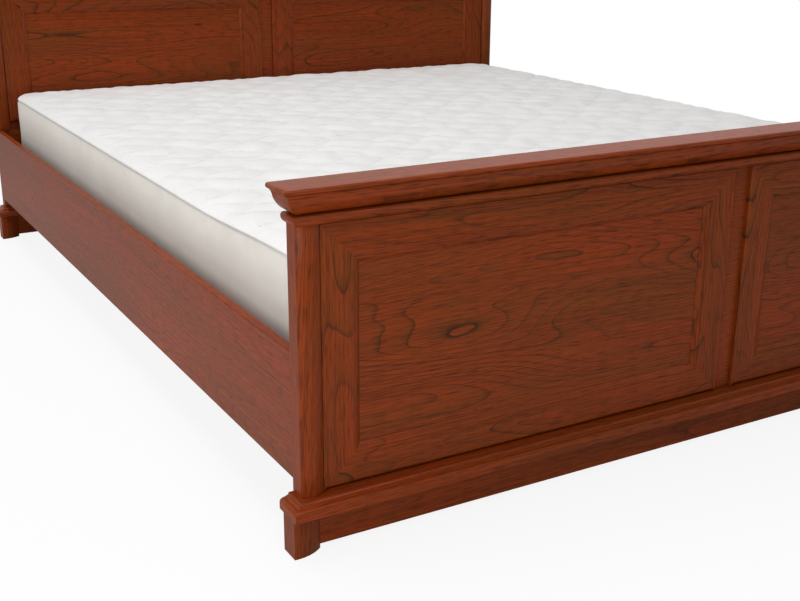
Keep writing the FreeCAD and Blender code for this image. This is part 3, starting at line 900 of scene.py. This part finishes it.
def stitch_tree():
    """Short rounded stitches, laid end to end along a path."""
    tree, inlet, curve = started_tree("stitches", ["Pitch", "Stitch Length", "Thread Radius"])
    to_points = tree.nodes.new("GeometryNodeCurveToPoints")
    to_points.mode = "LENGTH"
    ball = tree.nodes.new("GeometryNodeMeshUVSphere")
    ball.inputs["Segments"].default_value = ball_segments
    ball.inputs["Rings"].default_value = ball_rings
    ball.inputs["Radius"].default_value = 1.0
    size = tree.nodes.new("ShaderNodeCombineXYZ")
    half = tree.nodes.new("ShaderNodeMath")
    half.operation = "MULTIPLY"
    half.inputs[1].default_value = 0.5
    place = tree.nodes.new("GeometryNodeInstanceOnPoints")
    join = tree.links.new
    join(curve, to_points.inputs["Curve"])
    join(inlet.outputs["Pitch"], to_points.inputs["Length"])
    join(inlet.outputs["Stitch Length"], half.inputs[0])
    join(inlet.outputs["Thread Radius"], size.inputs["X"])
    join(inlet.outputs["Thread Radius"], size.inputs["Y"])
    join(half.outputs["Value"], size.inputs["Z"])
    join(to_points.outputs["Points"], place.inputs["Points"])
    join(ball.outputs["Mesh"], place.inputs["Instance"])
    join(to_points.outputs["Rotation"], place.inputs["Rotation"])
    join(size.outputs["Vector"], place.inputs["Scale"])
    end_tree(tree, inlet, place.outputs["Instances"])
    return tree


def grown(name, paths, tree, values):
    """Runs a tree on paths, each a list of points and whether it closes, and keeps the mesh."""
    verts, edges = [], []
    for points, closed in paths:
        start = len(verts)
        verts += [tuple(point) for point in points]
        edges += [(start + i, start + i + 1) for i in range(len(points) - 1)]
        if closed:
            edges.append((start + len(points) - 1, start))
    path_mesh = bpy.data.meshes.new(name + "_path")
    path_mesh.from_pydata(verts, edges, [])
    carrier = bpy.data.objects.new(name + "_path", path_mesh)
    scene.collection.objects.link(carrier)
    modifier = carrier.modifiers.new("grow", "NODES")
    modifier.node_group = tree
    for item in tree.interface.items_tree:
        if item.item_type == "SOCKET" and item.in_out == "INPUT" and item.name in values:
            modifier[item.identifier] = values[item.name]
    evaluated = carrier.evaluated_get(bpy.context.evaluated_depsgraph_get())
    mesh = bpy.data.meshes.new_from_object(evaluated)
    mesh.name = name
    bpy.data.objects.remove(carrier)
    for face in mesh.polygons:
        face.use_smooth = True
    piece = bpy.data.objects.new(name, mesh)
    scene.collection.objects.link(piece)
    return piece


print("trees ready")

# %% [markdown]
# ## Mattress cloth
# The quilted cover is a smooth knitted jacquard, off white, with a soft sheen. The border is
# a plainer knit, a little warmer. Both are finished with a fine knit relief from two crossed
# sine waves, some loose fluff, and broad clouding, all far smaller than the quilting, which
# is real geometry.

# %% Knitted covers
def knitted_cover(name, light, dark, pitch, crease):
    """A knit of that pitch in metres; crease is how strong its small creases are."""
    material, shader, place, (x, y, z) = new_finish(name)
    turns = math.tau / pitch
    side = x + y
    rise = z + y * 0.5
    ribs = side.math("SINE", side * turns + cloud(place, 120.0) * 3.0)
    courses = rise.math("SINE", rise * (turns * 0.8) + ribs * 0.8)
    knit = ribs * 0.6 + courses * 0.4
    fluff = cloud(place, 900.0, 3.0, 0.7)
    broad = cloud(place, 7.0, 3.0, 0.6).smooth(0.3, 0.7)
    colour = blend_colours(broad, light, dark)
    connect(shader, "Base Color", colour)
    connect(shader, "Roughness", fluff * 0.12 + 0.78)
    creases = cloud(place, 38.0, 3.0, 0.55) * crease
    connect(shader, "Normal", bump(knit * 0.12 + fluff * 0.25 + creases, 0.001, 0.6))
    shader.inputs["Specular IOR Level"].default_value = 0.25
    shader.inputs["Sheen Weight"].default_value = 0.12
    shader.inputs["Sheen Roughness"].default_value = 0.4
    return material


quilt_cloth = knitted_cover(
    "quilt_cloth", linear(240, 239, 238), linear(234, 233, 232), pitch=0.0021, crease=1.1
)
border_cloth = knitted_cover(
    "border_cloth", linear(236, 231, 223), linear(230, 224, 215), pitch=0.0026, crease=0.5
)
# The cord's grey is partly the tape's own tone and partly painted shade of the sunk seam.
cord_cloth_with_painted_shade = knitted_cover(
    "seam_cord_painted_shade_cloth", linear(196, 192, 186), linear(184, 180, 174), pitch=0.0012, crease=0.2
)
thread = knitted_cover(
    "quilting_thread", linear(240, 239, 236), linear(228, 226, 222), pitch=0.0008, crease=0.0
)
top_panel.data.materials.append(quilt_cloth)
bottom_panel.data.materials.append(quilt_cloth)
border.data.materials.append(border_cloth)
print("cloths ready")

# %% [markdown]
# ## Cords in the sunk seams
# On the real mattress a folded tape covers each seam. A cord could be placed by eye, but the
# upper seam climbs a little towards the foot end, so the cord takes the outline's points and
# the same climb.

# %% Seam cords
cord_radius = 0.0015
cord_inset = 0.0022
cord = cord_tree()
seam_cords = []
for side, height in (("top", seam_top), ("bottom", seam_bottom)):
    path = []
    for point, out in rim:
        place = point - out * cord_inset
        rise = seam_shift(place.y - middle.y) if side == "top" else 0.0
        path.append(place + Vector((0, 0, height + rise)))
    values = {"Cord Radius": cord_radius, "Material": cord_cloth_with_painted_shade}
    seam_cords.append(grown(f"mattress_seam_cord_{side}", [(path, True)], cord, values))
print("seam cords", [len(piece.data.polygons) for piece in seam_cords])

# %% [markdown]
# ## Stitches on the quilted waves
# The thread is what makes quilting look sewn. Each wave is followed across the top panel in
# small steps, and a ray from above finds the swollen cover, so that the stitches lie on it. A
# wave that leaves the panel is cut there, and what is left of it is a path of its own.

# %% Stitches
thread_radius = 0.0005
stitch_pitch = 0.0095
stitch_length = 0.0066
seam_margin = 0.02
path_step = 0.006
panel_surface = BVHTree.FromObject(top_panel, bpy.context.evaluated_depsgraph_get())
down = Vector((0, 0, -1))
wave_paths = []
last_row = math.ceil(half_length / wave_rows)
for row in range(-last_row, last_row + 1):
    run = []
    for x in np.arange(-half_width + seam_margin, half_width - seam_margin, path_step):
        y = wave(row, x)
        hit = None
        if half_length - abs(y) > seam_margin and half_width - abs(x) > seam_margin:
            hit = panel_surface.ray_cast(Vector((x, y, 1.0)) + middle, down)[0]
        if hit is not None:
            run.append(hit + Vector((0, 0, thread_radius * 0.4)))
            continue
        if len(run) > 2:
            wave_paths.append((run, False))
        run = []
    if len(run) > 2:
        wave_paths.append((run, False))
stitches = grown(
    "mattress_quilting_stitches",
    wave_paths,
    stitch_tree(),
    {
        "Pitch": stitch_pitch,
        "Stitch Length": stitch_length,
        "Thread Radius": thread_radius,
        "Material": thread,
    },
)
print("stitched lines", len(wave_paths), "faces", len(stitches.data.polygons))

# %% [markdown]
# ## What rides on what
# The mattress lifts out of the frame, so every sewn piece rides on the imported body
# `mattress`. The panels and the border stand for the plain packed block, which is hidden.

# %% Ride and replace
for piece in (border, top_panel, bottom_panel):
    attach(piece, "mattress")
    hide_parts("mattress")
for piece in (*seam_cords, stitches):
    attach(piece, "mattress")
print("mattress pieces ride")

# %% [markdown]
# ## Floor
# The photograph's background is plain white, with a soft shadow under the bed. A large pale
# floor takes the shadow. To the camera it turns to the same white as the world with distance,
# so that no horizon shows, while it still throws a natural light back up at the bed.

# %% Floor
floor_radius = 30.0
floor_drop = 0.0003
near_white = 0.88
white_from, white_to = 1.4, 3.0
floor_shape = bmesh.new()
bmesh.ops.create_circle(floor_shape, cap_ends=True, segments=96, radius=floor_radius)
floor_mesh = bpy.data.meshes.new("floor")
floor_shape.to_mesh(floor_mesh)
floor_shape.free()
floor = bpy.data.objects.new("floor", floor_mesh)
scene.collection.objects.link(floor)
floor_finish, floor_shader, floor_place, _ = new_finish("floor_white")
for vert in floor_mesh.vertices:
    vert.co.z = -floor_drop
floor_mesh.materials.append(floor_finish)
floor_shader.inputs["Base Color"].default_value = linear(244, 244, 244)
floor_shader.inputs["Roughness"].default_value = 0.9
floor_shader.inputs["Specular IOR Level"].default_value = 0.0
distance = floor_place.node(
    "ShaderNodeVectorMath", {"operation": "LENGTH"}, {0: floor_place}, 1
)
floor_tree = floor_finish.node_tree
floor_rays = floor_tree.nodes.new("ShaderNodeLightPath")
rays = Sum(floor_tree, floor_rays.outputs["Is Camera Ray"])
whitening = rays * (distance.smooth(white_from, white_to) * (1 - near_white) + near_white)
glow = floor_place.node("ShaderNodeEmission", {}, {"Color": (1, 1, 1, 1), "Strength": 1.0})
lit = Sum(floor_tree, floor_shader.outputs[0])
floor_mix = floor_place.node("ShaderNodeMixShader", {}, {0: whitening, 1: lit, 2: glow})
output = floor_tree.nodes["Material Output"]
floor_tree.links.new(floor_mix.socket, output.inputs["Surface"])
print("floor ready")

# %% [markdown]
# ## World
# The photograph was taken in a bright room with soft light from the left and above. A lit
# room could be modelled round the bed. Here the world looks pure white to the camera and in
# reflections, but gives only a little light itself, so that the lamps can shape the bed.

# %% World
world = bpy.data.worlds.new("white_room")
scene.world = world
world.use_nodes = True
tree = world.node_tree
light_path = tree.nodes.new("ShaderNodeLightPath")
seen = Sum(tree, light_path.outputs["Is Camera Ray"])
seen = seen.math("MAXIMUM", seen, Sum(tree, light_path.outputs["Is Glossy Ray"]))
seen = seen.math("MAXIMUM", seen, Sum(tree, light_path.outputs["Is Transmission Ray"]))
room_level = 0.28
background = tree.nodes["Background"]
strength = seen * (1.0 - room_level) + room_level
tree.links.new(strength.socket, background.inputs["Strength"])
background.inputs["Color"].default_value = (1.0, 1.0, 1.0, 1.0)
print("world ready")

# %% [markdown]
# ## Lamps
# A soft shadow needs a broad lamp, so each lamp is a square of light that faces a point. It
# is given by its place, the point it looks at, its side in metres and its power in watts.
# These were found by comparing patches of the picture with the photograph: a low lamp before
# the foot end, a high one beyond it, a broad one on the left and the broadest above.

# %% Lamps
def softbox(name, place, target, size, watts):
    """A square lamp that faces a point."""
    data = bpy.data.lights.new(name, "AREA")
    data.shape = "SQUARE"
    data.size = size
    data.energy = watts
    lamp = bpy.data.objects.new(name, data)
    lamp.location = place
    lamp.rotation_mode = "QUATERNION"
    lamp.rotation_quaternion = (Vector(target) - Vector(place)).to_track_quat("-Z", "Y")
    scene.collection.objects.link(lamp)


softbox("lamp_front", (-2.0, -2.3, 0.95), (-0.8, -1.0, 0.4), 0.8, 9.5)
softbox("lamp_high", (-1.1, -2.7, 3.1), (-0.7, -1.0, 0.3), 1.1, 25.0)
softbox("lamp_side", (-4.6, 0.2, 2.0), (-0.8, -0.2, 0.3), 2.4, 32.0)
softbox("lamp_above", (-1.0, 0.1, 4.3), (-0.3, 0.0, 0.3), 2.6, 86.0)
scene.view_settings.view_transform = "Standard"
print("lamps ready")
